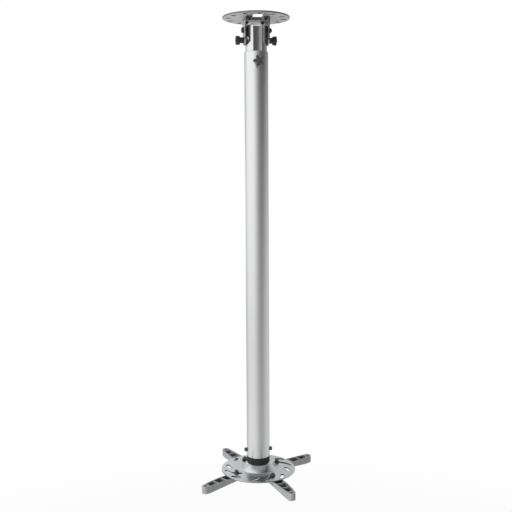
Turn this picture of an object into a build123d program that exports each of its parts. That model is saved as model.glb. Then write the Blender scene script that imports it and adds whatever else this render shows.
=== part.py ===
from build123d import *
import os
from math import acos, asin, atan2, cos, degrees, radians, sin, sqrt

# Projector ceiling mount: a ceiling plate with a tilt bracket, a telescopic pole, and a slotted
# adapter disc with four arms, held on the pole's foot by a ball clamp. Millimetres, +Z up, origin
# at the middle of the ceiling face. The bracket's ears lie at +X and -X, and the cable channel and
# the height knob face -Y.

# Clearances
face_gap = 0.15
curved_gap = 0.3
ear_gap = 0.5
slide_gap = 1
pin_gap = 0.1
snug_gap = 0.05

# Ceiling plate
plate_dia = 140
plate_thick = 3
plate_edge = 0.8
fixing_inset = 12.5
fixing_slots = 12
fixing_slot_length = 13
fixing_slot_width = 7
window_land = 0.9
window_rim = 4
window_back = 4
window_corner = 9

# Tilt bracket, folded from sheet
sheet = 2.5
bend_radius = 2
base_half = 31
ear_half = 22
ear_shoulder = 20
ear_tail = 31
screw_edge = 7
screw_dia = 5
screw_head_dia = 10
screw_nut_flats = 8
screw_nut_height = 2.7
screw_tail = 2.3

# Tilt pivot and its lock
pivot_drop = 26.5
pivot_dia = 6
pivot_flats = 10
pivot_head_height = 4
pivot_nut_height = 3.4
pivot_dome_height = 3.2
pivot_dome_edge = 0.3
washer_thick = 1.2
washer_dia = 13
lock_radius = 20.5
tilt_range = 30
lock_slot_width = 6.8

# Inner tube with its cable channel
inner_dia = 45
inner_wall = 2.5
inner_rise = 8.3
inner_spare = 84
channel_width = 16
channel_lip = 0.8
sleeve_dia = 9
sleeve_gap = 0.5
bar_height = 12
bush_height = 20
bush_lip = 2.5
bush_bore = 36

# Star knobs
stud_dia = 6
stud_grip = 11
stud_inset = 9
stud_tip = 0.8
knob_collar_dia = 12
knob_collar_length = 7
knob_head_height = 9
knob_core_dia = 13
knob_lobes = 5
knob_lobe_dia = 5.6
tilt_knob_reach = 9.5
height_knob_reach = 11.2
knob_notch_fillet = 1.2
knob_edge = 1.2

# Each knob's turn at rest: the angle of one of its lobes
tilt_knob_turns = {-1: 180, 1: 270}
height_knob_turn = 180

# Outer tube
outer_wall = 1.5
outer_clear = 13.5
outer_length = 866.5
outer_edge = 0.5
liner_inset = 1
liner_height = 12
height_knob_inset = 22
key_height = 16
key_reach = 9.5
key_boss_dia = 10
key_boss_stand = 1.2

# End plug and stem
plug_height = 32
plug_floor = 21
plug_wall = 5
tube_screw_rise = 13.2
tube_screw_dia = 5
tube_screw_length = 13
tube_screw_head_dia = 8.6
tube_screw_head_height = 5.4
tube_screw_edge = 1
stem_dia = 10
stem_nut_flats = 16
stem_nut_height = 7
stem_tail = 3

# Ball clamp and lock ring
ball_range = 10
dome_radius = 45
dome_wall = 4
crown_spare = 1.5
friction_thick = 1
ring_skirt = 14
ring_flutes = 40
ring_flute_dia = 2
ring_flute_depth = 0.7
ring_edge = 0.6
upper_washer_span = (17, 32)
lower_washer_span = (19, 36)
cup_span = 38
cup_wall = 4
cup_hub_dia = 24
cup_hub_stand = 0.5

# Adapter disc with its swirl of slots
disc_dia = 162
disc_rise = 24
disc_thick = 3.2
disc_edge = 1.3
dome_fillet = 4
swirl_sets = 4
swirl_angle = 20.5
swirl_radius = 41.5
swirl_lean = 40
swirl_inner_land = 8.1
swirl_outer_land = 5.3
swirl_width = 7.6
swirl_bevel = 0.6

# The short slots between two long ones: how far round from the first, and their two ends as shares
# of a long slot, from its inner end
short_slots = ((1 / 3, 0.68, 1.07), (2 / 3, 0.42, 0.82))

# Arms, cast with open pockets
arm_reach = 87
arm_root_radius = 12
arm_tip_radius = 8
arm_bow_radius = 260
arm_depth = 15
arm_root_depth = 9.5
arm_wall = 2.6
arm_floor = 3
arm_web = 3
arm_hub_radius = 15.5
arm_tip_land = 5
arm_pockets = 3
pocket_fillet = 2
arm_edge = 0.6
tip_hole_dia = 6.4
arm_bolt_dia = 5
arm_bolt_flats = 8
arm_bolt_head = 3.5
arm_recess_gap = 0.43
arm_nut_height = 4
arm_bolt_tail = 1.8
arm_washer_dia = 12.5
arm_washer_thick = 1.2

# Each arm: the number of its slot round the disc, its bolt's place along the slot as a share from the
# inner end, where it points, and the side that bows out
arms = {
    "back_right": (0, 0.076, 27, -1),
    "back_left": (1, 0.25, 114.4, 1),
    "front_left": (2, 0.25, 216.4, -1),
    "front_right": (3, 0.25, 287.7, 1),
}

# Derived sizes of the plate and the bracket
fixing_circle_dia = plate_dia - 2 * fixing_inset
window_front = (fixing_circle_dia - fixing_slot_length) / 2 - window_rim
inner_radius = inner_dia / 2
ear_inside = inner_radius + ear_gap
ear_outside = ear_inside + sheet
base_bottom = plate_thick + sheet
screw_x = ear_inside - bend_radius - screw_nut_flats / 2
screw_pitch_x = 2 * screw_x
screw_pitch_y = 2 * (base_half - screw_edge)
window_width = 2 * (screw_x - screw_head_dia / 2 - pin_gap - window_land)
washer_seat = ear_outside + snug_gap
knob_seat = washer_seat + washer_thick + face_gap

# Derived sizes of the tubes
inner_bore = inner_radius - inner_wall
inner_top = pivot_drop - inner_rise
channel_floor = sleeve_dia / 2 + sleeve_gap + inner_wall
outer_bore = inner_radius + slide_gap
outer_radius = outer_bore + outer_wall
outer_dia = 2 * outer_radius
outer_top = pivot_drop + ear_tail + outer_clear
outer_bottom = outer_top + outer_length
inner_bottom = outer_bottom - plug_height - inner_spare - bush_lip
height_knob_drop = outer_top + height_knob_inset
tube_screw_drop = outer_bottom - tube_screw_rise
key_seat = outer_radius + key_boss_stand

# Derived sizes of the ball clamp, the disc and the arms
ring_top = outer_bottom + face_gap
ring_hollow = dome_radius + 2 * curved_gap + friction_thick
ball_drop = ring_top + ring_skirt + sqrt(ring_hollow**2 - outer_radius**2)
dome_bore = dome_radius - dome_wall
tilt_and_roll = degrees(acos(cos(radians(ball_range)) ** 2))
crown_hole_angle = tilt_and_roll + degrees(asin(stem_dia / 2 / dome_bore)) + crown_spare
disc_top = disc_rise - ball_drop
disc_bottom = disc_top - disc_thick
dome_foot = sqrt(dome_radius**2 - disc_rise**2)
swirl_inside = dome_foot + swirl_inner_land + swirl_width / 2
swirl_outside = disc_dia / 2 - swirl_outer_land - swirl_width / 2
swirl_x = (swirl_inside + swirl_outside) / 2 - swirl_radius * cos(radians(swirl_lean))
swirl_y = -swirl_radius * sin(radians(swirl_lean))
swirl_away = sqrt(swirl_x**2 + swirl_y**2)
swirl_start = swirl_angle + degrees(atan2(swirl_y, swirl_x))
arm_top = disc_bottom - face_gap
arm_pad = arm_top - arm_root_depth
pocket_pitch = (arm_reach - arm_tip_land - arm_hub_radius) / arm_pockets
arm_recess_dia = arm_bolt_flats / cos(radians(30)) + 2 * arm_recess_gap

os.makedirs("parts", exist_ok=True)


def save(piece, name):
    """Label a finished piece and write it."""
    piece.part.label = name
    export_step(piece.part, f"parts/{name}.step")


def side_plane(side, x, drop):
    """A plane facing out along +X or -X, at x from the pole's axis and drop below the ceiling."""
    return Plane(origin=(side * x, 0, -drop), x_dir=(0, side, 0), z_dir=(side, 0, 0))


def ball_point(radius, angle):
    """A point of the XZ plane at an angle from straight up, round the ball's centre."""
    return (radius * sin(radians(angle)), radius * cos(radians(angle)) - ball_drop)


def ball_height(radius, r):
    """The height at which a sphere about the ball's centre has the radius r."""
    return sqrt(radius**2 - r**2) - ball_drop


def swirl_turn(number):
    """The angle round the disc of the centre of a swirl slot's arc."""
    return swirl_start + 360 / swirl_sets * number


def swirl_center(number):
    """The centre of a swirl slot's arc."""
    around = radians(swirl_turn(number))
    return (swirl_away * cos(around), swirl_away * sin(around))


def swirl_bend(r):
    """The angle about the arc's centre at which a swirl slot is r from the pole's axis."""
    return degrees(acos((r**2 - swirl_away**2 - swirl_radius**2) / (2 * swirl_away * swirl_radius)))


def swirl_heading(number, share):
    """The direction from a swirl slot's arc centre to the point at a share from its inner end."""
    inner = swirl_bend(swirl_inside)
    return swirl_turn(number) + inner + (swirl_bend(swirl_outside) - inner) * share


def swirl_arc(number, start, end):
    """The centre line of a swirl slot, between two shares from its inner end."""
    first = swirl_heading(number, end)
    return CenterArc(swirl_center(number), swirl_radius, first, swirl_heading(number, start) - first)


def swirl_point(number, share):
    """The point of a swirl slot's centre line at a share from its inner end."""
    x, y = swirl_center(number)
    direction = radians(swirl_heading(number, share))
    return (x + swirl_radius * cos(direction), y + swirl_radius * sin(direction))


def star_knob(plane, reach, turn):
    """A moulded star knob on a collar, standing on its plane, with a lobe at the angle turn."""
    lobe_offset = reach - knob_lobe_dia / 2
    with BuildPart() as knob:
        with BuildSketch(plane.offset(knob_collar_length)):
            Circle(knob_core_dia / 2)
            with PolarLocations(lobe_offset, knob_lobes, start_angle=turn):
                Circle(knob_lobe_dia / 2)
            fillet(vertices(), knob_notch_fillet)
        extrude(amount=knob_head_height)
        rims = edges().group_by(Axis(plane.origin, plane.z_dir))
        chamfer(rims[-1] + rims[0], knob_edge)
        with BuildSketch(plane):
            Circle(knob_collar_dia / 2)
        extrude(amount=knob_collar_length)
        with BuildSketch(plane):
            Circle(stud_dia / 2 + snug_gap)
        extrude(amount=stud_grip, mode=Mode.SUBTRACT)
    return knob


def stud(plane, reach):
    """A knob's steel stud, from its grip inside the knob to a tip at reach behind the plane."""
    with BuildPart() as rod:
        with BuildSketch(plane.offset(-reach)):
            Circle(stud_dia / 2)
        extrude(amount=reach + stud_grip)
        chamfer(edges().group_by(Axis(plane.origin, plane.z_dir))[0], stud_tip)
    return rod


def window(mode):
    """The cable window, added to or cut from the sketch being drawn."""
    with Locations((0, -window_front)):
        Rectangle(window_width, window_front - window_back, align=(Align.CENTER, Align.MIN), mode=mode)


# Ceiling plate
with BuildPart() as ceiling_plate:
    with BuildSketch(Plane.XY.offset(-plate_thick)):
        Circle(plate_dia / 2)
        with PolarLocations(fixing_circle_dia / 2, fixing_slots):
            SlotOverall(fixing_slot_length, fixing_slot_width, mode=Mode.SUBTRACT)
        window(Mode.SUBTRACT)
    extrude(amount=plate_thick)
    front_corners = edges().filter_by(Axis.Z).filter_by(
        lambda edge: abs(edge.center().Y + window_front) < face_gap)
    fillet(front_corners, min(window_corner, window_width / 2 - face_gap))
    with Locations(Plane.XY):
        with GridLocations(screw_pitch_x, screw_pitch_y, 2, 2):
            CounterSinkHole(screw_dia / 2 + pin_gap, screw_head_dia / 2 + pin_gap)
    rims = edges().filter_by(GeomType.CIRCLE).filter_by(lambda edge: edge.radius > fixing_circle_dia / 2)
    fillet(rims, plate_edge)
save(ceiling_plate, "ceiling_plate")

# Tilt bracket
lock_arc = CenterArc((0, -pivot_drop), lock_radius, 270 - tilt_range, 2 * tilt_range)
with BuildPart() as tilt_bracket:
    with BuildSketch(Plane.XZ):
        with Locations((0, -plate_thick)):
            Rectangle(2 * ear_outside, pivot_drop + ear_tail - plate_thick, align=(Align.CENTER, Align.MAX))
        outer_corners = vertices().group_by(Axis.Y)[-1]
        fillet(outer_corners, bend_radius + sheet)
        with Locations((0, -base_bottom)):
            Rectangle(2 * ear_inside, pivot_drop + ear_tail, align=(Align.CENTER, Align.MAX),
                      mode=Mode.SUBTRACT)
        inner_corners = vertices().filter_by(lambda v: abs(v.Y + base_bottom) < face_gap)
        fillet(inner_corners, bend_radius)
    extrude(amount=base_half, both=True)
    with BuildSketch(Plane.YZ):
        tail_height = sqrt(ear_tail**2 - ear_half**2)
        with BuildLine():
            Polyline((-ear_half, -pivot_drop - tail_height), (-ear_half, -ear_shoulder),
                     (-base_half, -base_bottom), (-base_half, -plate_thick),
                     (base_half, -plate_thick), (base_half, -base_bottom),
                     (ear_half, -ear_shoulder), (ear_half, -pivot_drop - tail_height))
            ThreePointArc((ear_half, -pivot_drop - tail_height), (0, -pivot_drop - ear_tail),
                          (-ear_half, -pivot_drop - tail_height))
        make_face()
    extrude(amount=2 * ear_outside, both=True, mode=Mode.INTERSECT)
    with BuildSketch(Plane.YZ):
        with Locations((0, -pivot_drop)):
            Circle(pivot_dia / 2 + pin_gap)
        SlotArc(lock_arc, lock_slot_width)
    extrude(amount=2 * ear_outside, both=True, mode=Mode.SUBTRACT)
    with BuildSketch(Plane.XY.offset(-base_bottom)):
        window(Mode.ADD)
        with GridLocations(screw_pitch_x, screw_pitch_y, 2, 2):
            Circle(screw_dia / 2 + pin_gap)
    extrude(amount=sheet, mode=Mode.SUBTRACT)
save(tilt_bracket, "tilt_bracket")

# Bracket screws, flush with the ceiling face, and their nuts
screw_length = base_bottom + screw_nut_height + screw_tail
with BuildPart() as bracket_screws:
    with GridLocations(screw_pitch_x, screw_pitch_y, 2, 2):
        hanging = (Align.CENTER, Align.CENTER, Align.MAX)
        Cylinder(screw_dia / 2, screw_length, align=hanging)
        Cone(screw_dia / 2, screw_head_dia / 2, (screw_head_dia - screw_dia) / 2, align=hanging)
save(bracket_screws, "bracket_screws")

with BuildPart() as bracket_nuts:
    with BuildSketch(Plane.XY.offset(-base_bottom)):
        with GridLocations(screw_pitch_x, screw_pitch_y, 2, 2):
            RegularPolygon(screw_nut_flats / 2, 6, major_radius=False, rotation=30)
            Circle(screw_dia / 2 + snug_gap, mode=Mode.SUBTRACT)
    extrude(amount=-screw_nut_height)
save(bracket_nuts, "bracket_nuts")

# Pivot bolt with its head at the left, its washers, and a domed nut at the right
nut_seat = washer_seat + washer_thick
with BuildPart() as pivot_bolt:
    with BuildSketch(side_plane(-1, nut_seat, pivot_drop)):
        RegularPolygon(pivot_flats / 2, 6, major_radius=False)
    extrude(amount=pivot_head_height)
    with BuildSketch(side_plane(-1, nut_seat, pivot_drop)):
        Circle(pivot_dia / 2)
    extrude(amount=-2 * nut_seat - pivot_nut_height)
save(pivot_bolt, "pivot_bolt")

with BuildPart() as pivot_nut:
    with BuildSketch(side_plane(1, nut_seat, pivot_drop)):
        RegularPolygon(pivot_flats / 2, 6, major_radius=False)
    extrude(amount=pivot_nut_height)
    with BuildSketch(side_plane(1, nut_seat + pivot_nut_height, pivot_drop)):
        Circle(pivot_flats / 2)
    extrude(amount=pivot_dome_height)
    dome_rim = edges().group_by(Axis.X)[-1]
    fillet(dome_rim, pivot_dome_height - pivot_dome_edge)
    with BuildSketch(side_plane(1, nut_seat, pivot_drop)):
        Circle(pivot_dia / 2 + snug_gap)
    extrude(amount=pivot_nut_height + face_gap, mode=Mode.SUBTRACT)
save(pivot_nut, "pivot_nut")


def washer_pair(drop, bore):
    """Two washers on the bracket's ears, facing each other."""
    with BuildPart() as pair:
        for side in (-1, 1):
            with BuildSketch(side_plane(side, washer_seat, drop)):
                Circle(washer_dia / 2)
                Circle(bore / 2, mode=Mode.SUBTRACT)
            extrude(amount=washer_thick)
    return pair


save(washer_pair(pivot_drop, pivot_dia + 2 * pin_gap), "pivot_washers")
save(washer_pair(pivot_drop + lock_radius, stud_dia + 2 * pin_gap), "tilt_washers")

# Inner tube: a round tube with a cable channel folded into its front
with BuildSketch(Plane.XY.offset(-inner_bottom)) as inner_hollow:
    Circle(inner_radius - inner_wall)
    with Locations((0, -channel_floor + inner_wall)):
        Rectangle(channel_width + 2 * inner_wall, inner_dia, align=(Align.CENTER, Align.MAX),
                  mode=Mode.SUBTRACT)

with BuildPart() as inner_tube:
    with BuildSketch(Plane.XY.offset(-inner_bottom)):
        Circle(inner_radius)
        with Locations((0, -channel_floor)):
            Rectangle(channel_width, inner_dia, align=(Align.CENTER, Align.MAX), mode=Mode.SUBTRACT)
        lips = vertices().group_by(Axis.Y)[0]
        fillet(lips, channel_lip)
        add(inner_hollow.sketch, mode=Mode.SUBTRACT)
    extrude(amount=inner_bottom - inner_top)
    with BuildSketch(Plane.YZ):
        with Locations((0, -pivot_drop)):
            Circle(pivot_dia / 2 + pin_gap)
        with Locations((0, -pivot_drop - lock_radius)):
            Circle(stud_dia / 2 + pin_gap)
    extrude(amount=inner_dia, both=True, mode=Mode.SUBTRACT)
save(inner_tube, "inner_tube")

# Sleeve round the pivot bolt, inside the tube
sleeve_half = sqrt(inner_bore**2 - (sleeve_dia / 2) ** 2) - snug_gap
with BuildPart() as pivot_sleeve:
    with BuildSketch(side_plane(1, 0, pivot_drop)):
        Circle(sleeve_dia / 2)
        Circle(pivot_dia / 2 + pin_gap, mode=Mode.SUBTRACT)
    extrude(amount=sleeve_half, both=True)
save(pivot_sleeve, "pivot_sleeve")

# Threaded bar across the tube, which takes the tilt studs at both ends
with BuildPart() as tilt_bar:
    with BuildSketch(Plane.XY.offset(-pivot_drop - lock_radius - bar_height / 2)):
        Circle(inner_bore - snug_gap)
        Rectangle(inner_dia, sleeve_dia, mode=Mode.INTERSECT)
    extrude(amount=bar_height)
    with BuildSketch(side_plane(1, 0, pivot_drop + lock_radius)):
        Circle(stud_dia / 2 + snug_gap)
    extrude(amount=inner_dia, both=True, mode=Mode.SUBTRACT)
save(tilt_bar, "tilt_bar")

# Guide bush: a plastic band round the tube's lower end, with a lip under it
with BuildPart() as guide_bush:
    with BuildSketch(Plane.XY.offset(-inner_bottom - bush_lip)):
        Circle(outer_bore - curved_gap)
        Circle(bush_bore / 2, mode=Mode.SUBTRACT)
    extrude(amount=bush_lip + bush_height)
    with BuildSketch(Plane.XY.offset(-inner_bottom)):
        Circle(inner_radius + snug_gap)
    extrude(amount=bush_height, mode=Mode.SUBTRACT)
save(guide_bush, "guide_bush")

# Tilt knobs and studs
for side, name in ((-1, "left"), (1, "right")):
    seat = side_plane(side, knob_seat, pivot_drop + lock_radius)
    save(star_knob(seat, tilt_knob_reach, tilt_knob_turns[side]), f"tilt_knob_{name}")
    save(stud(seat, knob_seat - stud_inset), f"tilt_stud_{name}")

# Outer tube
with BuildPart() as outer_tube:
    with BuildSketch(Plane.XY.offset(-outer_bottom)):
        Circle(outer_radius)
        Circle(outer_bore, mode=Mode.SUBTRACT)
    extrude(amount=outer_bottom - outer_top)
    mouth = edges().group_by(Axis.Z)[-1].sort_by(SortBy.RADIUS)[-1]
    chamfer(mouth, outer_edge)
    with BuildSketch(Plane.XZ):
        with Locations((0, -height_knob_drop)):
            Circle(key_boss_dia / 2 + snug_gap)
    extrude(amount=outer_dia, mode=Mode.SUBTRACT)
    with BuildSketch(Plane.YZ):
        with Locations((0, -tube_screw_drop)):
            Circle(tube_screw_dia / 2 + snug_gap)
    extrude(amount=outer_dia, both=True, mode=Mode.SUBTRACT)
save(outer_tube, "outer_tube")

# Guide liner in the outer tube's mouth
with BuildPart() as guide_liner:
    with BuildSketch(Plane.XY.offset(-outer_top - liner_inset)):
        Circle(outer_bore - snug_gap)
        Circle(inner_radius + curved_gap, mode=Mode.SUBTRACT)
    extrude(amount=-liner_height)
save(guide_liner, "guide_liner")

# Height key: a threaded block that rides in the channel, with a boss through the outer tube
with BuildPart() as height_key:
    with BuildSketch(Plane.XY.offset(-height_knob_drop - key_height / 2)):
        Circle(outer_bore - snug_gap)
        with Locations((0, -outer_bore + key_reach)):
            Rectangle(channel_width - 2 * curved_gap, outer_dia, align=(Align.CENTER, Align.MAX),
                      mode=Mode.INTERSECT)
    extrude(amount=key_height)
    with BuildSketch(Plane.XZ.offset(outer_bore - key_reach)):
        with Locations((0, -height_knob_drop)):
            Circle(key_boss_dia / 2)
    extrude(amount=key_reach + outer_wall + key_boss_stand)
    with BuildSketch(Plane.XZ):
        with Locations((0, -height_knob_drop)):
            Circle(stud_dia / 2 + snug_gap)
    extrude(amount=outer_dia, mode=Mode.SUBTRACT)
save(height_key, "height_key")

# Height knob, whose stud presses on the channel's floor
height_seat = Plane(origin=(0, -key_seat - face_gap, -height_knob_drop), x_dir=(1, 0, 0),
                    z_dir=(0, -1, 0))
save(star_knob(height_seat, height_knob_reach, height_knob_turn), "height_knob")
save(stud(height_seat, key_seat - channel_floor), "height_stud")

# End plug: a cup in the foot of the outer tube
with BuildPart() as end_plug:
    with BuildSketch(Plane.XY.offset(-outer_bottom)):
        Circle(outer_bore - snug_gap)
    extrude(amount=plug_height)
    with BuildSketch(Plane.XY.offset(-outer_bottom + plug_floor)):
        Circle(outer_bore - snug_gap - plug_wall)
    extrude(amount=plug_height, mode=Mode.SUBTRACT)
    with BuildSketch(Plane.XY.offset(-outer_bottom)):
        Circle(stem_dia / 2 + snug_gap)
    extrude(amount=plug_floor, mode=Mode.SUBTRACT)
    with BuildSketch(Plane.YZ):
        with Locations((0, -tube_screw_drop)):
            Circle(tube_screw_dia / 2 + snug_gap)
    extrude(amount=outer_dia, both=True, mode=Mode.SUBTRACT)
save(end_plug, "end_plug")

# Cross screws that hold the plug
with BuildPart() as tube_screws:
    for side in (-1, 1):
        with BuildSketch(side_plane(side, outer_radius, tube_screw_drop)):
            Circle(tube_screw_head_dia / 2)
        extrude(amount=tube_screw_head_height)
        chamfer(edges().sort_by(Axis.X)[-1 if side > 0 else 0], tube_screw_edge)
        with BuildSketch(side_plane(side, outer_radius, tube_screw_drop)):
            Circle(tube_screw_dia / 2)
        extrude(amount=-tube_screw_length)
save(tube_screws, "tube_screws")

# Stem bolt, from its jam nut in the plug down to the clamp cup
cup_radius = dome_bore - 2 * curved_gap - friction_thick
cup_bore = cup_radius - cup_wall
hub_radius = cup_hub_dia / 2
cup_floor = ball_height(cup_bore, hub_radius) - cup_hub_stand
stem_top = -outer_bottom + plug_floor + stem_nut_height + stem_tail
stem_bottom = cup_floor - stem_nut_height - stem_tail
with BuildPart() as stem_bolt:
    with BuildSketch(Plane.XY.offset(stem_bottom)):
        Circle(stem_dia / 2)
    extrude(amount=stem_top - stem_bottom)
    chamfer(edges().filter_by(GeomType.CIRCLE), stud_tip)
save(stem_bolt, "stem_bolt")


def stem_nut(bottom):
    """A hex nut on the stem."""
    with BuildPart() as nut:
        with BuildSketch(Plane.XY.offset(bottom)):
            RegularPolygon(stem_nut_flats / 2, 6, major_radius=False)
            Circle(stem_dia / 2 + snug_gap, mode=Mode.SUBTRACT)
        extrude(amount=stem_nut_height)
    return nut


save(stem_nut(-outer_bottom + plug_floor), "jam_nut")
save(stem_nut(cup_floor - stem_nut_height), "stem_nut")

# Lock ring: a fluted collar on the stem, hollowed to a sphere over the dome
stem_clear = stem_dia / 2 + pin_gap
with BuildPart() as lock_ring:
    with BuildSketch(Plane.XZ):
        with BuildLine():
            Polyline((stem_clear, ball_height(ring_hollow, stem_clear)), (stem_clear, -ring_top),
                     (outer_radius, -ring_top), (outer_radius, ball_height(ring_hollow, outer_radius)))
            ThreePointArc((outer_radius, ball_height(ring_hollow, outer_radius)),
                          (outer_radius / 2, ball_height(ring_hollow, outer_radius / 2)),
                          (stem_clear, ball_height(ring_hollow, stem_clear)))
        make_face()
    revolve(axis=Axis.Z)
    chamfer(edges().group_by(Axis.Z)[-1].sort_by(SortBy.RADIUS)[-1], ring_edge)
    with BuildSketch(Plane.XY.offset(-ring_top)):
        with PolarLocations(outer_radius - ring_flute_depth + ring_flute_dia / 2, ring_flutes):
            Circle(ring_flute_dia / 2)
    extrude(amount=-outer_radius, mode=Mode.SUBTRACT)
save(lock_ring, "lock_ring")


def friction_washer(radius, span):
    """A thin spherical washer about the ball's centre, between two angles from straight up."""
    outside = radius + friction_thick
    top, foot = span
    middle = (top + foot) / 2
    with BuildPart() as washer:
        with BuildSketch(Plane.XZ):
            with BuildLine():
                Line(ball_point(radius, top), ball_point(outside, top))
                ThreePointArc(ball_point(outside, top), ball_point(outside, middle),
                              ball_point(outside, foot))
                Line(ball_point(outside, foot), ball_point(radius, foot))
                ThreePointArc(ball_point(radius, foot), ball_point(radius, middle),
                              ball_point(radius, top))
            make_face()
        revolve(axis=Axis.Z)
    return washer


save(friction_washer(dome_radius + curved_gap, upper_washer_span), "upper_friction_washer")
save(friction_washer(dome_bore - curved_gap - friction_thick, lower_washer_span), "lower_friction_washer")

# Clamp cup under the dome, flat at its hub for the stem's nut
hub_angle = degrees(asin(hub_radius / cup_bore))
stem_bore = stem_dia / 2 + snug_gap
with BuildPart() as clamp_cup:
    with BuildSketch(Plane.XZ):
        with BuildLine():
            Polyline((hub_radius, ball_height(cup_bore, hub_radius)), (hub_radius, cup_floor),
                     (stem_bore, cup_floor), (stem_bore, ball_height(cup_radius, stem_bore)))
            ThreePointArc((stem_bore, ball_height(cup_radius, stem_bore)),
                          ball_point(cup_radius, cup_span / 2), ball_point(cup_radius, cup_span))
            Line(ball_point(cup_radius, cup_span), ball_point(cup_bore, cup_span))
            ThreePointArc(ball_point(cup_bore, cup_span), ball_point(cup_bore, (cup_span + hub_angle) / 2),
                          (hub_radius, ball_height(cup_bore, hub_radius)))
        make_face()
    revolve(axis=Axis.Z)
save(clamp_cup, "clamp_cup")

# Adapter disc: the dome and the slotted disc, cast in one
bore_foot = sqrt(dome_bore**2 - (disc_bottom + ball_drop) ** 2)
foot_angle = degrees(atan2(dome_foot, disc_rise))
bore_angle = degrees(atan2(bore_foot, disc_bottom + ball_drop))
slot_arcs = []
for number in range(swirl_sets):
    slot_arcs.append(swirl_arc(number, 0, 1))
    for step, start, end in short_slots:
        slot_arcs.append(swirl_arc(number + step, start, end))

with BuildPart() as adapter_disc:
    with BuildSketch(Plane.XZ):
        with BuildLine():
            Line(ball_point(dome_bore, crown_hole_angle), ball_point(dome_radius, crown_hole_angle))
            ThreePointArc(ball_point(dome_radius, crown_hole_angle),
                          ball_point(dome_radius, (crown_hole_angle + foot_angle) / 2),
                          (dome_foot, disc_top))
            Polyline((dome_foot, disc_top), (disc_dia / 2, disc_top), (disc_dia / 2, disc_bottom),
                     (bore_foot, disc_bottom))
            ThreePointArc((bore_foot, disc_bottom),
                          ball_point(dome_bore, (crown_hole_angle + bore_angle) / 2),
                          ball_point(dome_bore, crown_hole_angle))
        make_face()
        fillet(vertices().sort_by_distance((dome_foot, disc_top))[0], dome_fillet)
        fillet(vertices().group_by(Axis.X)[-1], disc_edge)
    revolve(axis=Axis.Z)
    with BuildSketch(Plane.XY.offset(disc_top)):
        for arc in slot_arcs:
            SlotArc(arc, swirl_width)
    extrude(amount=-disc_thick, mode=Mode.SUBTRACT)
    slot_rims = edges(Select.LAST).group_by(Axis.Z)[-1]
    chamfer(slot_rims, swirl_bevel)
save(adapter_disc, "adapter_disc")


def arm_outline(bow):
    """The arm's outline round its pivot and its tip, straight on one side and bowed on the other."""
    root = arm_root_radius
    tip = arm_tip_radius
    taper = asin((root - tip) / arm_reach)
    to_root = arm_bow_radius - root
    to_tip = arm_bow_radius - tip
    x = (arm_reach**2 + to_root**2 - to_tip**2) / (2 * arm_reach)
    y = -sqrt(to_root**2 - x**2)
    bow_root = (-x * root / to_root, -y * root / to_root)
    bow_tip = (arm_reach + (arm_reach - x) * tip / to_tip, -y * tip / to_tip)
    line_root = (root * sin(taper), -root * cos(taper))
    line_tip = (arm_reach + tip * sin(taper), -tip * cos(taper))
    with BuildLine() as outline:
        Line(line_root, line_tip)
        ThreePointArc(line_tip, (arm_reach + tip, 0), bow_tip)
        ThreePointArc(bow_tip, (x, y + arm_bow_radius), bow_root)
        ThreePointArc(bow_root, (-root, 0), line_root)
        if bow < 0:
            mirror(about=Plane.XZ, mode=Mode.REPLACE)
    make_face(outline.edges())


def arm_profile(side, lift):
    """Trim the part being built to the arm's side view: level under the bolt, then deeper to the tip."""
    pad = lift - arm_root_depth
    foot = lift - arm_depth
    with BuildSketch(side) as view:
        with BuildLine():
            Polyline((-arm_reach, 0), (-arm_reach, pad), (arm_hub_radius, pad),
                     (arm_reach - arm_tip_radius, foot), (2 * arm_reach, foot),
                     (2 * arm_reach, 0), close=True)
        make_face()
    extrude(view.sketch, amount=arm_reach, both=True, mode=Mode.INTERSECT)


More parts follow.
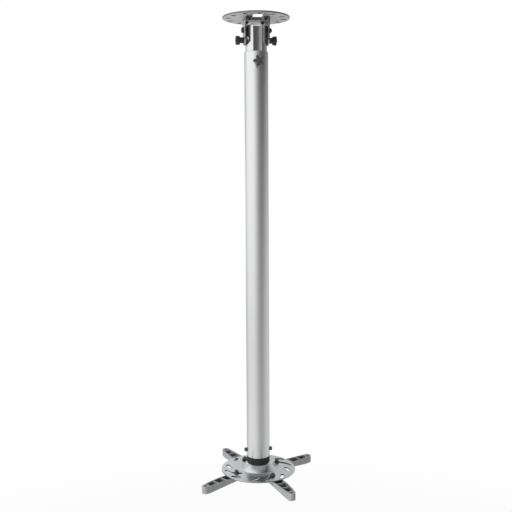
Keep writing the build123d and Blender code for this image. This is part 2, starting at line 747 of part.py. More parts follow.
# Arms, each with its bolt, nut and washer
for name, (number, share, heading, bow) in arms.items():
    x, y = swirl_point(number, share)
    pointing = (cos(radians(heading)), sin(radians(heading)), 0)
    top = Plane(origin=(x, y, arm_top), x_dir=pointing, z_dir=(0, 0, 1))
    side = Plane(origin=(x, y, arm_top), x_dir=pointing, z_dir=(pointing[1], -pointing[0], 0))
    with BuildPart() as pockets:
        for pocket in range(arm_pockets):
            pocket_start = arm_hub_radius + pocket_pitch * pocket
            with BuildSketch(top):
                arm_outline(bow)
                offset(amount=-arm_wall, mode=Mode.REPLACE)
                Circle(pocket_start + pocket_pitch - arm_web, mode=Mode.INTERSECT)
                Circle(pocket_start, mode=Mode.SUBTRACT)
                fillet(vertices(), pocket_fillet)
            extrude(amount=-arm_depth)
        arm_profile(side, arm_floor)
    with BuildPart() as arm:
        with BuildSketch(top):
            arm_outline(bow)
        extrude(amount=-arm_depth)
        arm_profile(side, 0)
        chamfer(faces().sort_by(Axis.Z)[0].edges(), arm_edge)
        add(pockets.part, mode=Mode.SUBTRACT)
        with BuildSketch(top):
            Circle(arm_bolt_dia / 2 + pin_gap)
            with Locations((arm_reach, 0)):
                Circle(tip_hole_dia / 2)
        extrude(amount=-arm_depth, mode=Mode.SUBTRACT)
        with BuildSketch(top.offset(-arm_root_depth)):
            Circle(arm_recess_dia / 2)
        extrude(amount=arm_bolt_head + face_gap, mode=Mode.SUBTRACT)
    save(arm, f"arm_{name}")

    nut_bottom = disc_top + snug_gap + arm_washer_thick
    bolt_top = nut_bottom + arm_nut_height + arm_bolt_tail
    upright = Plane(origin=(x, y, 0), x_dir=pointing, z_dir=(0, 0, 1))
    with BuildPart() as arm_bolt:
        with BuildSketch(upright.offset(arm_pad)):
            RegularPolygon(arm_bolt_flats / 2, 6, major_radius=False)
        extrude(amount=arm_bolt_head)
        with BuildSketch(upright.offset(arm_pad)):
            Circle(arm_bolt_dia / 2)
        extrude(amount=bolt_top - arm_pad)
        chamfer(edges().group_by(Axis.Z)[-1], stud_tip)
    save(arm_bolt, f"arm_bolt_{name}")

    with BuildPart() as arm_washer:
        with BuildSketch(upright.offset(disc_top + snug_gap)):
            Circle(arm_washer_dia / 2)
            Circle(arm_bolt_dia / 2 + snug_gap, mode=Mode.SUBTRACT)
        extrude(amount=arm_washer_thick)
    save(arm_washer, f"arm_washer_{name}")

    with BuildPart() as arm_nut:
        with BuildSketch(upright.offset(nut_bottom)):
            RegularPolygon(arm_bolt_flats / 2, 6, major_radius=False)
            Circle(arm_bolt_dia / 2 + snug_gap, mode=Mode.SUBTRACT)
        extrude(amount=arm_nut_height)
    save(arm_nut, f"arm_nut_{name}")
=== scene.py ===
import math
import bmesh
import bpy
from mathutils import Matrix, Vector


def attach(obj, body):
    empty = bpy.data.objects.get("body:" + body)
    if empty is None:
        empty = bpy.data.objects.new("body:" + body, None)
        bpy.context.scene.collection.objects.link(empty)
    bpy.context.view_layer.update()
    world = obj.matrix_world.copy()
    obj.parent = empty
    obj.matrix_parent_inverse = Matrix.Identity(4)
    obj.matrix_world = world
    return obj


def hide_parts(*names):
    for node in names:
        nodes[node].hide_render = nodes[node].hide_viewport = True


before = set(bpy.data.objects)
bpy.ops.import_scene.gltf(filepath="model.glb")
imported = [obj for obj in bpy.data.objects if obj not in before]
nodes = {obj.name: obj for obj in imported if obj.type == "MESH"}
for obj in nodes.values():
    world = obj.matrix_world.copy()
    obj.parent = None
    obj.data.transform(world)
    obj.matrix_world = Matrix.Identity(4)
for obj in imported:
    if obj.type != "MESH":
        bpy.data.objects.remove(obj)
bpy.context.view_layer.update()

# Projector ceiling mount. The solids keep their shapes and get their finishes here, and the fasteners
# that show are made again with turned crowns, sockets and cut threads. Lengths are metres in the frame
# of the solids, and millimetres in the fasteners.

scene = bpy.context.scene
scene.view_settings.view_transform = "Standard"
arms = ("back_right", "back_left", "front_left", "front_right")


def add(name, data):
    """An object of this data, in the scene."""
    obj = bpy.data.objects.new(name, data)
    scene.collection.objects.link(obj)
    return obj


# Materials

# The values that most of a noise keeps to
NOISE_LOW, NOISE_HIGH = 0.3, 0.7

# How much of its surroundings a point sees, in a crevice and on an open face
SHUT, OPEN = 0.35, 0.85


def new_material(name, base, metallic, roughness):
    """A material with plain values, which a viewer without nodes shows, and a tree ready for detail."""
    mat = bpy.data.materials.new(name)
    mat.use_nodes = True
    shader = mat.node_tree.nodes["Principled BSDF"]
    shader.inputs["Base Color"].default_value = (*base, 1)
    shader.inputs["Metallic"].default_value = metallic
    shader.inputs["Roughness"].default_value = roughness
    return mat


def noise(mat, scale, stretch=(1, 1, 1), detail=3.0):
    """A noise over the object's own coordinates, packed tighter along an axis by its stretch."""
    tree = mat.node_tree
    where = tree.nodes.new("ShaderNodeTexCoord")
    mapping = tree.nodes.new("ShaderNodeMapping")
    mapping.inputs["Scale"].default_value = stretch
    texture = tree.nodes.new("ShaderNodeTexNoise")
    texture.inputs["Scale"].default_value = scale
    texture.inputs["Detail"].default_value = detail
    tree.links.new(where.outputs["Object"], mapping.inputs["Vector"])
    tree.links.new(mapping.outputs["Vector"], texture.inputs["Vector"])
    return texture.outputs["Fac"]


def map_range(tree, value, start, end, low=0.0, high=1.0):
    """A socket that runs from low to high as the value runs from start to end."""
    span = tree.nodes.new("ShaderNodeMapRange")
    span.inputs["From Min"].default_value = start
    span.inputs["From Max"].default_value = end
    span.inputs["To Min"].default_value = low
    span.inputs["To Max"].default_value = high
    tree.links.new(value, span.inputs["Value"])
    return span.outputs["Result"]


def feed(mat, socket, name):
    """The socket drives one of the shader's inputs."""
    tree = mat.node_tree
    tree.links.new(socket, tree.nodes["Principled BSDF"].inputs[name])


def base_color(mat):
    """The socket that drives the base colour so far."""
    return mat.node_tree.nodes["Principled BSDF"].inputs["Base Color"].links[0].from_socket


def vary_color(mat, factor, low, high):
    """The base colour runs from low to high with the factor."""
    tree = mat.node_tree
    ramp = tree.nodes.new("ShaderNodeValToRGB")
    first, last = ramp.color_ramp.elements
    first.position, last.position = NOISE_LOW, NOISE_HIGH
    first.color, last.color = (*low, 1), (*high, 1)
    tree.links.new(factor, ramp.inputs["Fac"])
    feed(mat, ramp.outputs["Color"], "Base Color")


def vary_roughness(mat, factor, low, high):
    """The roughness runs from low to high with the factor."""
    feed(mat, map_range(mat.node_tree, factor, NOISE_LOW, NOISE_HIGH, low, high), "Roughness")


def dim_base(mat, share):
    """The base colour becomes a share of itself."""
    tree = mat.node_tree
    dim = tree.nodes.new("ShaderNodeVectorMath")
    dim.operation = "SCALE"
    tree.links.new(base_color(mat), dim.inputs[0])
    tree.links.new(share, dim.inputs["Scale"])
    feed(mat, dim.outputs[0], "Base Color")


def paint_wall_shade(mat, color, axis, wall, face):
    """Painted shade: faces take a dark colour where the size of their normal along an axis is a cut wall's.

    It fades into the base colour as that size goes from the wall's to the face's.
    """
    tree = mat.node_tree
    normal = tree.nodes.new("ShaderNodeNewGeometry")
    parts = tree.nodes.new("ShaderNodeSeparateXYZ")
    size = tree.nodes.new("ShaderNodeMath")
    size.operation = "ABSOLUTE"
    blend = tree.nodes.new("ShaderNodeMix")
    blend.data_type = "RGBA"
    on_walls, on_faces = [socket for socket in blend.inputs if socket.type == "RGBA"]
    on_walls.default_value = (*color, 1)
    tree.links.new(normal.outputs["True Normal"], parts.inputs[0])
    tree.links.new(parts.outputs[axis], size.inputs[0])
    tree.links.new(map_range(tree, size.outputs[0], wall, face), blend.inputs["Factor"])
    tree.links.new(base_color(mat), on_faces)
    feed(mat, next(socket for socket in blend.outputs if socket.type == "RGBA"), "Base Color")


def paint_crevice_shade(mat, reach, deep, own=True):
    """Painted shade: the base colour darkens to a share of itself where faces close in, the object's own ones
    or any.
    """
    tree = mat.node_tree
    shut = tree.nodes.new("ShaderNodeAmbientOcclusion")
    shut.samples = 8
    shut.only_local = own
    shut.inputs["Distance"].default_value = reach
    dim_base(mat, map_range(tree, shut.outputs["AO"], SHUT, OPEN, low=deep))


def paint_channel_shade(mat, floor, near, far, deep):
    """Painted shadow: the base colour darkens to a share of itself round an upright line on the cable
    channel's floor, where the lip's shadow falls.
    """
    tree = mat.node_tree
    where = tree.nodes.new("ShaderNodeTexCoord")
    level = tree.nodes.new("ShaderNodeVectorMath")
    level.operation = "MULTIPLY"
    level.inputs[1].default_value = (1, 1, 0)
    across = tree.nodes.new("ShaderNodeMapping")
    across.vector_type = "TEXTURE"
    across.inputs["Location"].default_value = floor
    away = tree.nodes.new("ShaderNodeVectorMath")
    away.operation = "LENGTH"
    tree.links.new(where.outputs["Object"], level.inputs[0])
    tree.links.new(level.outputs[0], across.inputs["Vector"])
    tree.links.new(across.outputs["Vector"], away.inputs[0])
    dim_base(mat, map_range(tree, away.outputs["Value"], near, far, low=deep))


def emboss(mat, factor, strength, depth, edge):
    """A bump from the factor, over edges rounded by a small radius."""
    tree = mat.node_tree
    bump = tree.nodes.new("ShaderNodeBump")
    bump.inputs["Strength"].default_value = strength
    bump.inputs["Distance"].default_value = depth
    rounded = tree.nodes.new("ShaderNodeBevel")
    rounded.samples = 4
    rounded.inputs["Radius"].default_value = edge
    tree.links.new(factor, bump.inputs["Height"])
    tree.links.new(rounded.outputs["Normal"], bump.inputs["Normal"])
    feed(mat, bump.outputs["Normal"], "Normal")


def sheet_paint(name, base, metallic, low, high):
    """Silver paint on sheet metal, with a slight orange peel."""
    mat = new_material(name, base, metallic, roughness=0.42)
    peel = noise(mat, scale=700, detail=2.0)
    vary_color(mat, noise(mat, scale=45), low, high)
    vary_roughness(mat, peel, low=0.36, high=0.48)
    emboss(mat, peel, strength=0.15, depth=0.00006, edge=0.0004)
    return mat


def moulded(name, base, roughness, low, high, smooth_spots, rough_spots):
    """Moulded plastic with a spark-eroded grain."""
    mat = new_material(name, base, 0.0, roughness)
    spark = noise(mat, scale=1800, detail=2.0)
    vary_color(mat, noise(mat, scale=120), low, high)
    vary_roughness(mat, spark, smooth_spots, rough_spots)
    emboss(mat, spark, strength=0.2, depth=0.00005, edge=0.0004)
    return mat


def coated_steel(name, base, roughness, scale, low, high, smooth_spots, rough_spots):
    """Steel under a thin, uneven film."""
    mat = new_material(name, base, 1.0, roughness)
    film = noise(mat, scale, detail=4.0)
    vary_color(mat, film, low, high)
    vary_roughness(mat, film, smooth_spots, rough_spots)
    emboss(mat, noise(mat, scale=2500), strength=0.1, depth=0.00003, edge=0.0002)
    return mat


# Drawn aluminium tube: fine lines along the pole, under a satin anodised finish
tube = new_material("anodised_tube", (0.83, 0.84, 0.85), metallic=1.0, roughness=0.3)
lines = noise(tube, scale=1.0, stretch=(1600, 1600, 5), detail=2.0)
vary_color(tube, lines, low=(0.85, 0.855, 0.86), high=(0.9, 0.905, 0.91))
vary_roughness(tube, lines, low=0.24, high=0.34)
emboss(tube, lines, strength=0.12, depth=0.00004, edge=0.0004)
# Painted shadow of the channel's left lip on its floor
paint_channel_shade(tube, floor=(-0.0025, -0.0075, 0), near=0.003, far=0.014, deep=0.32)

# Die-cast disc, tumbled and satin plated
cast = new_material("satin_cast", (0.66, 0.68, 0.69), metallic=1.0, roughness=0.3)
grain = noise(cast, scale=900, detail=4.0)
vary_color(cast, noise(cast, scale=60), low=(0.745, 0.785, 0.79), high=(0.805, 0.845, 0.85))
vary_roughness(cast, grain, low=0.23, high=0.32)
emboss(cast, grain, strength=0.05, depth=0.00005, edge=0.0005)
# Painted shade on the cut walls and rim of the disc, and in its slots
paint_wall_shade(cast, (0.16, 0.165, 0.17), "Z", wall=0.02, face=0.3)
paint_crevice_shade(cast, reach=0.006, deep=0.3)

# Silver-grey powder coat of the arms
powder = new_material("powder_coat", (0.36, 0.365, 0.37), metallic=0.35, roughness=0.5)
pebble = noise(powder, scale=1400, detail=2.0)
vary_color(powder, noise(powder, scale=90), low=(0.31, 0.315, 0.32), high=(0.36, 0.365, 0.37))
vary_roughness(powder, pebble, low=0.44, high=0.6)
emboss(powder, pebble, strength=0.25, depth=0.00008, edge=0.0006)
# Painted shade in the arms' pockets and other crevices
paint_crevice_shade(powder, reach=0.014, deep=0.22)

# Paint of the bracket, with painted shade on the cut edges that face the front and in the gap beside the pole
paint = sheet_paint("silver_paint", (0.53, 0.53, 0.535), 0.55, low=(0.5, 0.5, 0.505),
                    high=(0.56, 0.56, 0.565))
paint_wall_shade(paint, (0.07, 0.07, 0.072), "Y", wall=0.8, face=0.5)
paint_crevice_shade(paint, reach=0.018, deep=0.24, own=False)

# Paint of the ceiling plate, with painted shade on its rounded rim and in its punched slots
plate_paint = sheet_paint("plate_paint", (0.58, 0.58, 0.585), 0.5, low=(0.57, 0.57, 0.575),
                          high=(0.63, 0.63, 0.635))
paint_wall_shade(plate_paint, (0.12, 0.12, 0.122), "Z", wall=0.7, face=0.95)
paint_crevice_shade(plate_paint, reach=0.009, deep=0.0)

# Black plastic of the side knobs, the lock ring and the friction washers
plastic = moulded("moulded_plastic", (0.018, 0.018, 0.019), 0.42, low=(0.011, 0.011, 0.012),
                  high=(0.018, 0.018, 0.019), smooth_spots=0.36, rough_spots=0.5)

# The same plastic on the front knob in a lighter copy: painted light on its face, which meets the lamps
front_lit_plastic = moulded("front_lit_plastic", (0.05, 0.05, 0.051), 0.46, low=(0.034, 0.034, 0.035),
                       high=(0.046, 0.046, 0.047), smooth_spots=0.4, rough_spots=0.54)

# Grey plastic of the guides inside the tubes
guide = new_material("guide_plastic", (0.08, 0.08, 0.085), metallic=0.0, roughness=0.5)
vary_color(guide, noise(guide, scale=200), low=(0.07, 0.07, 0.075), high=(0.095, 0.095, 0.1))
emboss(guide, noise(guide, scale=1500), strength=0.15, depth=0.00004, edge=0.0003)

# Blackened steel of the bracket's fasteners
black_steel = coated_steel("blackened_steel", (0.07, 0.07, 0.075), 0.38, scale=500, low=(0.05, 0.05, 0.055),
                           high=(0.1, 0.1, 0.105), smooth_spots=0.3, rough_spots=0.46)

# Oiled grey steel of the bolts on the disc and the screws in the pole's foot
grey_steel = coated_steel("oiled_steel", (0.17, 0.17, 0.175), 0.34, scale=500, low=(0.14, 0.14, 0.145),
                          high=(0.2, 0.2, 0.205), smooth_spots=0.26, rough_spots=0.42)

# Zinc-plated steel of the studs, the stem and the pieces inside
zinc = coated_steel("zinc_steel", (0.58, 0.59, 0.61), 0.35, scale=350, low=(0.53, 0.54, 0.56),
                    high=(0.64, 0.65, 0.66), smooth_spots=0.28, rough_spots=0.42)

finish_of = {
    tube: ["inner_tube", "outer_tube"],
    cast: ["adapter_disc", "clamp_cup", "end_plug", "height_key", "tilt_bar"],
    powder: [f"arm_{arm}" for arm in arms],
    paint: ["tilt_bracket"],
    plate_paint: ["ceiling_plate"],
    plastic: ["tilt_knob_left", "tilt_knob_right", "lock_ring", "upper_friction_washer",
              "lower_friction_washer"],
    front_lit_plastic: ["height_knob"],
    guide: ["guide_bush", "guide_liner"],
    black_steel: ["bracket_screws", "bracket_nuts", "pivot_bolt", "pivot_nut", "pivot_washers",
                  "tilt_washers"],
    grey_steel: ["tube_screws"] + [f"arm_{kind}_{arm}" for kind in ("bolt", "nut", "washer") for arm in arms],
    zinc: ["pivot_sleeve", "tilt_stud_left", "tilt_stud_right", "height_stud", "stem_bolt", "jam_nut",
           "stem_nut"],
}
for mat, names in finish_of.items():
    for name in names:
        mesh = nodes[name].data
        mesh.materials.clear()
        mesh.materials.append(mat)


# Fasteners, turned from rings of points about an axis

SIDES = 48
STEP = math.tau / SIDES
SHARP_EDGE = math.radians(32)

# A turned crown cuts the corners of a hexagon outside this share of its flats, at this slope
CROWN = 0.48
CROWN_SLOPE = math.tan(math.radians(30))

# A thread's rings a turn, its depth as a share of the pitch, and its tip as a share of the radius
THREAD_RINGS = 8
THREAD_DEPTH = 0.55
THREAD_TIP = 0.78

# Thread radii and pitches, and what a nut's bore is wider by
M5, M5_PITCH = 2.5, 0.8
M6 = 3
M10, M10_PITCH = 5, 1.5
BORE_GAP = 0.05


def spoke(i, radius, z):
    """The point of a ring at a step round the axis."""
    return (radius * math.cos(i * STEP), radius * math.sin(i * STEP), z)


def circle(radius, z):
    """A round ring."""
    return [spoke(i, radius, z) for i in range(SIDES)]


def hexagon(flats, z, crown=0):
    """A six-sided ring whose corners drop away, up or down, as a turned crown cuts them."""
    points = []
    for i in range(SIDES):
        radius = flats / 2 / math.cos(i * STEP % (math.pi / 3) - math.pi / 6)
        drop = max(0, radius - flats * CROWN) * CROWN_SLOPE
        points.append(spoke(i, radius, z + crown * drop))
    return points


def knurled(radius, depth, z):
    """A ring with fine teeth."""
    return [spoke(i, radius - depth * (i % 2), z) for i in range(SIDES)]


def thread(radius, pitch, low, high):
    """Rings of a screw thread from low to high, with a chamfered tip at high."""
    steps = math.ceil(abs(high - low) / pitch * THREAD_RINGS)
    rings = []
    for k in range(steps + 1):
        z = low + (high - low) * k / steps
        tip = radius * THREAD_TIP + abs(high - z)
        points = []
        for i in range(SIDES):
            phase = (z / pitch - i / SIDES) % 1
            points.append(spoke(i, min(radius - THREAD_DEPTH * pitch * abs(2 * phase - 1), tip), z))
        rings.append(points)
    return rings


def turned(loops, stand, closed=False):
    """Faces between rings in millimetres, capped at both ends or closed into a loop, set on a stand."""
    bm = bmesh.new()
    rows = [[bm.verts.new(stand @ (Vector(p) / 1000)) for p in points] for points in loops]
    pairs = list(zip(rows, rows[1:]))
    if closed:
        pairs.append((rows[-1], rows[0]))
    for a, b in pairs:
        for i in range(SIDES):
            j = (i + 1) % SIDES
            bm.faces.new((a[i], a[j], b[j], b[i]))
    if not closed:
        bm.faces.new(rows[0])
        bm.faces.new(rows[-1])
    bmesh.ops.recalc_face_normals(bm, faces=bm.faces)
    return bm


def piece(name, meshes, mat, body, slot, *replaced):
    """An object of one or more turned meshes, which rides on a body."""
    whole = bmesh.new()
    for bm in meshes:
        part = bpy.data.meshes.new(name)
        bm.to_mesh(part)
        bm.free()
        whole.from_mesh(part)
        bpy.data.meshes.remove(part)
    mesh = bpy.data.meshes.new(name)
    whole.to_mesh(mesh)
    whole.free()
    mesh.polygons.foreach_set("use_smooth", [True] * len(mesh.polygons))
    mesh.set_sharp_from_angle(angle=SHARP_EDGE)
    mesh.materials.append(mat)
    obj = add(name, mesh)
    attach(obj, body)
    if replaced:
        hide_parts(*replaced)


def upright(x, y, z, heading=0):
    """A stand at a point, in millimetres, turned to a heading in degrees."""
    return Matrix.Translation(Vector((x, y, z)) / 1000) @ Matrix.Rotation(math.radians(heading), 4, "Z")


def sideways(side, x, z):
    """A stand facing out along +X or -X at a height, in millimetres, with its own x along Y."""
    turn = Matrix(((0, 0, side, 0), (side, 0, 0, 0), (0, 1, 0, 0), (0, 0, 0, 1)))
    return Matrix.Translation(Vector((side * x, 0, z)) / 1000) @ turn


def nut(flats, radius, height, stand):
    """A hex nut for a thread's radius, with turned crowns and a countersunk bore, on its stand."""
    lead = 0.45
    bore = radius + BORE_GAP
    return turned([
        circle(bore + lead, 0), circle(flats * CROWN, 0), hexagon(flats, 0, 1), hexagon(flats, height, -1),
        circle(flats * CROWN, height), circle(bore + lead, height), circle(bore, height - lead),
        circle(bore, lead),
    ], stand, closed=True)


# Bracket screws with hex sockets in their countersunk heads, and their thin nuts
screw_places = [(x, y) for x in (-17, 17) for y in (-24, 24)]
screw_head, screw_land, screw_cone = 5, 0.12, 2.5
screw_socket, socket_depth = 3.2, 2.1
screw_shank, screw_thread, screw_length = 7.6, 7.7, 10.5
bracket_nut_flats, bracket_nut_height, bracket_nut_foot = 8, 2.7, -8.2
flipped = Matrix.Rotation(math.pi, 4, "X")
screw = [
    hexagon(screw_socket, socket_depth), hexagon(screw_socket, 0), circle(screw_head - 0.1, 0),
    circle(screw_head, screw_land), circle(M5, screw_cone), circle(M5, screw_shank),
] + thread(M5, M5_PITCH, screw_thread, screw_length)
piece("bracket_screw_set", [turned(screw, upright(x, y, 0) @ flipped) for x, y in screw_places], black_steel,
      "ceiling", "steel", "bracket_screws")
piece("bracket_nut_set", [
    nut(bracket_nut_flats, M5, bracket_nut_height, upright(x, y, bracket_nut_foot, 30))
    for x, y in screw_places], black_steel, "ceiling", "steel", "bracket_nuts")

# Pivot bolt, crowned and dished at its head, and the cap nut at its other end, each on a washer's face
pivot_flats, pivot_face, pivot_z = 10, 26.75, -26.5
pivot_length, pivot_head = 56.9, 4
dish, dish_foot, dish_depth = 3.4, 3.1, 0.3
pivot_bolt = [
    circle(M6, -pivot_length), circle(M6, 0), circle(pivot_flats * CROWN, 0), hexagon(pivot_flats, 0.02),
    hexagon(pivot_flats, pivot_head, -1), circle(pivot_flats * CROWN, pivot_head), circle(dish, pivot_head),
    circle(dish_foot, pivot_head - dish_depth),
]
piece("pivot_bolt_turned", [turned(pivot_bolt, sideways(-1, pivot_face, pivot_z))], black_steel, "ceiling",
      "steel", "pivot_bolt")
cap_bore_depth, cap_hex, cap_radius, cap_foot, cap_rise = 3.3, 3.4, 4.7, 3.5, 3.1
cap_nut = [
    circle(M6 + BORE_GAP, cap_bore_depth), circle(M6 + BORE_GAP, 0), circle(pivot_flats * CROWN, 0),
    hexagon(pivot_flats, 0, 1), hexagon(pivot_flats, cap_hex, -1), circle(pivot_flats * CROWN, cap_hex),
]
for degree in range(0, 90, 10):
    t = math.radians(degree)
    cap_nut.append(circle(cap_radius * math.cos(t), cap_foot + cap_rise * math.sin(t)))
piece("pivot_cap_nut", [turned(cap_nut, sideways(1, pivot_face, pivot_z))], black_steel, "ceiling", "steel",
      "pivot_nut")

# Socket-head screws with knurled heads through the foot of the outer tube
tube_face, tube_screw_z, tube_screw_length = 25, -924.3, 13
head_radius, head_knurl, knurl_start, knurl_end = 4.3, 0.14, 0.2, 4.3
head_shoulder, head_rim, head_height = 4.5, 3.3, 5.4
head_socket, socket_lead, socket_mouth, socket_floor = 4, 2.6, 5.1, 2.6
tube_screw = [
    circle(M5, -tube_screw_length), circle(M5, 0), knurled(4.25, 0.12, 0),
    knurled(head_radius, head_knurl, knurl_start), knurled(head_radius, head_knurl, knurl_end),
    circle(4.05, head_shoulder), circle(head_rim, head_height), circle(socket_lead, head_height),
    hexagon(head_socket, socket_mouth), hexagon(head_socket, socket_floor),
]
piece("tube_screw_set", [turned(tube_screw, sideways(side, tube_face, tube_screw_z)) for side in (-1, 1)],
      grey_steel, "outer_pole", "steel", "tube_screws")

# Stem and its nut, seen from under the dome
stem_top, stem_shank, stem_thread, stem_end = -906.5, -950, -950.2, -968.17
stem_nut_flats, stem_nut_height, stem_nut_foot = 16, 7, -965.172
stem = [circle(M10, stem_top), circle(M10, stem_shank)] + thread(M10, M10_PITCH, stem_thread, stem_end)
piece("stem_turned", [turned(stem, upright(0, 0, 0))], zinc, "outer_pole", "steel", "stem_bolt")
piece("stem_nut_turned", [nut(stem_nut_flats, M10, stem_nut_height, upright(0, 0, stem_nut_foot))], zinc,
      "outer_pole", "steel", "stem_nut")

# Arm bolts with their nuts on the disc: each bolt's place, and the heading of its arm
arm_bolts = {
    "back_right": (45.136, 25.84, 27),
    "back_left": (-24.131, 51.065, 114.4),
    "front_left": (-51.065, -24.131, 216.4),
    "front_right": (24.131, -51.065, 287.7),
}
arm_bolt_foot, arm_nut_foot = -979.826, -965.726
arm_flats, arm_head, arm_nut_height = 8, 3.5, 4
arm_shank, arm_thread, arm_length = 17.1, 17.2, 19.9
arm_bolt = [
    circle(2.6, 0.3), circle(3, 0), circle(arm_flats * CROWN, 0), hexagon(arm_flats, 0, 1),
    hexagon(arm_flats, arm_head), circle(M5, arm_head), circle(M5, arm_shank),
] + thread(M5, M5_PITCH, arm_thread, arm_length)
for arm, (x, y, heading) in arm_bolts.items():
    piece(f"arm_bolt_turned_{arm}", [turned(arm_bolt, upright(x, y, arm_bolt_foot, heading))], grey_steel,
          f"{arm}_slider", "steel", f"arm_bolt_{arm}")
    piece(f"arm_nut_turned_{arm}", [nut(arm_flats, M5, arm_nut_height, upright(x, y, arm_nut_foot, heading))],
          grey_steel, f"{arm}_slider", "steel", f"arm_nut_{arm}")

# Caps that close the knobs over their studs: rings of radius and height over the knob's face
cap = [circle(radius, z) for radius, z in
       ((4.3, -0.3), (4.3, 0.25), (4.05, 0.45), (3.2, 0.55), (1.6, 0.62))]
side_knob_face, side_knob_z = 42.9, -47
front_knob_face, front_knob_z = -42.35, -93
piece("knob_cap_left", [turned(cap, sideways(-1, side_knob_face, side_knob_z))], plastic, "left_tilt_knob",
      "black_plastic")
piece("knob_cap_right", [turned(cap, sideways(1, side_knob_face, side_knob_z))], plastic, "right_tilt_knob",
      "black_plastic")
facing_front = upright(0, front_knob_face, front_knob_z) @ Matrix.Rotation(math.pi / 2, 4, "X")
piece("knob_cap_front", [turned(cap, facing_front)], front_lit_plastic, "front_knob", "black_plastic")


# Light and floor

def lamp(name, place, target, size, size_y, power):
    """A soft rectangular lamp that faces its target, and that the metal doesn't mirror."""
    data = bpy.data.lights.new(name, "AREA")
    data.shape = "RECTANGLE"
    data.size = size
    data.size_y = size_y
    data.energy = power
    obj = add(name, data)
    obj.location = place
    obj.rotation_euler = (Vector(target) - Vector(place)).to_track_quat("-Z", "Y").to_euler()
    obj.visible_glossy = False


lamp("key", place=(-1.9, -0.9, -0.2), target=(0, 0, -0.45), size=1.6, size_y=2.4, power=50)
lamp("top", place=(-0.5, -0.9, 1.1), target=(0, 0, -0.97), size=1.2, size_y=1.2, power=24)
lamp("fill", place=(1.2, -2.2, -1.2), target=(0, 0, -0.6), size=1.2, size_y=1.2, power=3)


def smooth(low, high, x):
    """An even rise from 0 at low to 1 at high."""
    t = min(1, max(0, (x - low) / (high - low)))
    return t * t * (3 - 2 * t)


def band(x, low, full, fading, end):
    """An even rise from low to full, and an even fall from fading to end."""
    return smooth(low, full, x) * (1 - smooth(fading, end, x))


def cleared(node_owner):
    """The emptied node tree of a material or a world."""
    node_owner.use_nodes = True
    node_owner.node_tree.nodes.clear()
    return node_owner.node_tree


def seen_directly(tree):
    """A socket that is 1 where the camera, a mirror or a glass sees a surface, and 0 for its light."""
    path = tree.nodes.new("ShaderNodeLightPath")
    seen = path.outputs["Is Camera Ray"]
    for ray in ("Is Glossy Ray", "Is Transmission Ray"):
        either = tree.nodes.new("ShaderNodeMath")
        either.operation = "MAXIMUM"
        tree.links.new(seen, either.inputs[0])
        tree.links.new(path.outputs[ray], either.inputs[1])
        seen = either.outputs[0]
    return seen


def mix_into(tree, output, factor, first, second):
    """The output shows the first shader where the factor is 0, and the second where it is 1."""
    mixed = tree.nodes.new("ShaderNodeMixShader")
    tree.links.new(factor, mixed.inputs["Fac"])
    tree.links.new(first.outputs[0], mixed.inputs[1])
    tree.links.new(second.outputs[0], mixed.inputs[2])
    tree.links.new(mixed.outputs[0], output.inputs["Surface"])


# A round tent of studio cloth, seen only in shiny surfaces: bright at the front left, dark at the front
# right, grey elsewhere with a lit patch behind. The contrast fades, and the dark turns left, towards the
# floor, and the roof is grey. Angles are degrees to the right of the camera's side.
TENT_RADIUS, TENT_TOP, TENT_FOOT, TENT_SIDES = 1.25, 0.5, -1.74, 72
WALL_ROWS, ROOF_STEP = 24, 5
CAMERA_SIDE = -97.5
GREY, ROOF_GREY = 0.53, 0.33

# Where parts of the cloth begin, are full, begin to fade and end: by angle, or by height
BRIGHT_ANGLES = (-140, -95, -32, 30)
PATCH_ANGLES, PATCH_HEIGHTS = (-184, -166, -150, -125), (-0.8, -0.55, -0.35, -0.1)
FOLD_HEIGHTS = (-1.35, -1.0, -1.0, -0.65)


def tent_tone(angle, z):
    """How bright the tent is at an angle and a height."""
    height = smooth(-1.5, 0.3, z)
    above = smooth(0.0, 0.22, z)
    bright = band(angle, *BRIGHT_ANGLES)
    fold = band(z, *FOLD_HEIGHTS)
    patch = band(angle, *PATCH_ANGLES) * band(z, *PATCH_HEIGHTS)
    turn = angle + 26 * (1 - height)
    fade = min(1, 0.55 + 0.85 * (1 - height))
    dark = smooth(-34, 62 - 18 * above, turn) * (1 - fade * smooth(55 + 30 * above, 135 + 30 * above, turn))
    dark *= 1 - smooth(140, 175, turn)
    lit = GREY + (0.27 + 0.2 * height - 0.1 * fold) * bright + 0.35 * patch
    lit += 0.1 * (1 - height) * smooth(40, 100, angle)
    tone = lit * (1 - (0.28 + 0.5 * height + 0.16 * above) * dark)
    return tone + (ROOF_GREY - tone) * smooth(0.35, 1.2, z)


profile = [(TENT_RADIUS, TENT_FOOT + (TENT_TOP - TENT_FOOT) * k / WALL_ROWS) for k in range(WALL_ROWS + 1)]
for degree in range(ROOF_STEP, 90, ROOF_STEP):
    t = math.radians(degree)
    profile.append((TENT_RADIUS * math.cos(t), TENT_TOP + TENT_RADIUS * math.sin(t)))
points, tones, quads = [], [], []
for k, (radius, z) in enumerate(profile):
    for b in range(TENT_SIDES):
        angle = 360 * b / TENT_SIDES - 180
        heading = math.radians(angle + CAMERA_SIDE)
        points.append((radius * math.cos(heading), radius * math.sin(heading), z))
        tones.append(tent_tone(angle, z))
        if k:
            here, left = k * TENT_SIDES + b, k * TENT_SIDES + (b - 1) % TENT_SIDES
            quads.append((left - TENT_SIDES, here - TENT_SIDES, here, left))
tent_mesh = bpy.data.meshes.new("tent")
tent_mesh.from_pydata(points, [], quads)
tent_mesh.attributes.new("tone", "FLOAT", "POINT").data.foreach_set("value", tones)
tent_mat = bpy.data.materials.new("studio_cloth")
tree = cleared(tent_mat)
output = tree.nodes.new("ShaderNodeOutputMaterial")
glow = tree.nodes.new("ShaderNodeEmission")
painted = tree.nodes.new("ShaderNodeAttribute")
painted.attribute_name = "tone"
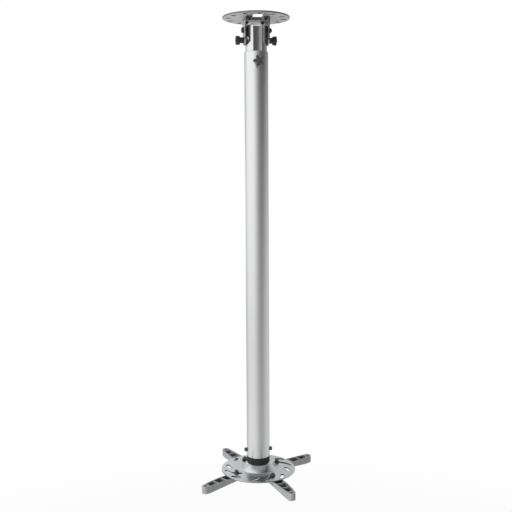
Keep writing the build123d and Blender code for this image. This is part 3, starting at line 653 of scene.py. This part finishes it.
tree.links.new(painted.outputs["Fac"], glow.inputs["Color"])
tree.links.new(glow.outputs[0], output.inputs["Surface"])
tent_mesh.materials.append(tent_mat)
tent = add("tent", tent_mesh)
tent.visible_camera = False
tent.visible_diffuse = False
tent.visible_shadow = False
tent.visible_transmission = False

# The world is white to look at, and gives a softer light
AMBIENT = 0.36
world = bpy.data.worlds.new("studio")
scene.world = world
tree = cleared(world)
output = tree.nodes.new("ShaderNodeOutputWorld")
ambient = tree.nodes.new("ShaderNodeBackground")
ambient.inputs["Color"].default_value = (1, 1, 1, 1)
ambient.inputs["Strength"].default_value = AMBIENT
white = tree.nodes.new("ShaderNodeBackground")
white.inputs["Color"].default_value = (1, 1, 1, 1)
white.inputs["Strength"].default_value = 1.0
mix_into(tree, output, seen_directly(tree), ambient, white)

# A pale floor that keeps a trace of the shadow under the mount, and runs into the white further out
FLOOR_Z, FLOOR_RADIUS, FLOOR_SIDES = -1.75, 6, 64
FLOOR_COLOR = (0.85, 0.85, 0.85, 1)
SHADOW_REACH, WHITE_REACH, SHADOW_SHARE = 2.0, 2.9, 0.9
rim = []
for i in range(FLOOR_SIDES):
    t = math.tau * i / FLOOR_SIDES
    rim.append((FLOOR_RADIUS * math.cos(t), FLOOR_RADIUS * math.sin(t), FLOOR_Z))
floor_mesh = bpy.data.meshes.new("floor")
floor_mesh.from_pydata(rim, [], [list(range(FLOOR_SIDES))])
floor_mat = bpy.data.materials.new("pale_floor")
tree = cleared(floor_mat)
output = tree.nodes.new("ShaderNodeOutputMaterial")
matte = tree.nodes.new("ShaderNodeBsdfDiffuse")
matte.inputs["Color"].default_value = FLOOR_COLOR
glow = tree.nodes.new("ShaderNodeEmission")
where = tree.nodes.new("ShaderNodeTexCoord")
away = tree.nodes.new("ShaderNodeVectorMath")
away.operation = "LENGTH"
share = tree.nodes.new("ShaderNodeMath")
share.operation = "MULTIPLY"
tree.links.new(where.outputs["Object"], away.inputs[0])
tree.links.new(seen_directly(tree), share.inputs[0])
tree.links.new(map_range(tree, away.outputs["Value"], SHADOW_REACH, WHITE_REACH, low=SHADOW_SHARE),
               share.inputs[1])
mix_into(tree, output, share.outputs[0], matte, glow)
floor_mesh.materials.append(floor_mat)
add("floor", floor_mesh)


# Camera, at the photograph's place and angle

CAMERA_PLACE = Vector((-0.2118, -1.6072, -0.3226))
FORWARD_X, FORWARD_Y = 0.129, 0.9916
PITCH, ROLL = 0.1074, -0.0055
forward = Vector((FORWARD_X * math.cos(PITCH), FORWARD_Y * math.cos(PITCH), -math.sin(PITCH))).normalized()
right = forward.cross(Vector((0, 0, 1))).normalized()
up = right.cross(forward)
rolled_right = right * math.cos(ROLL) + up * math.sin(ROLL)
rolled_up = up * math.cos(ROLL) - right * math.sin(ROLL)
axes = Matrix((rolled_right, rolled_up, -forward)).transposed()
camera_data = bpy.data.cameras.new("camera")
camera_data.lens = 53.53
camera_data.sensor_width = 36
camera_data.clip_end = 50
camera = add("camera", camera_data)
camera.matrix_world = Matrix.Translation(CAMERA_PLACE) @ axes.to_4x4()
scene.camera = camera
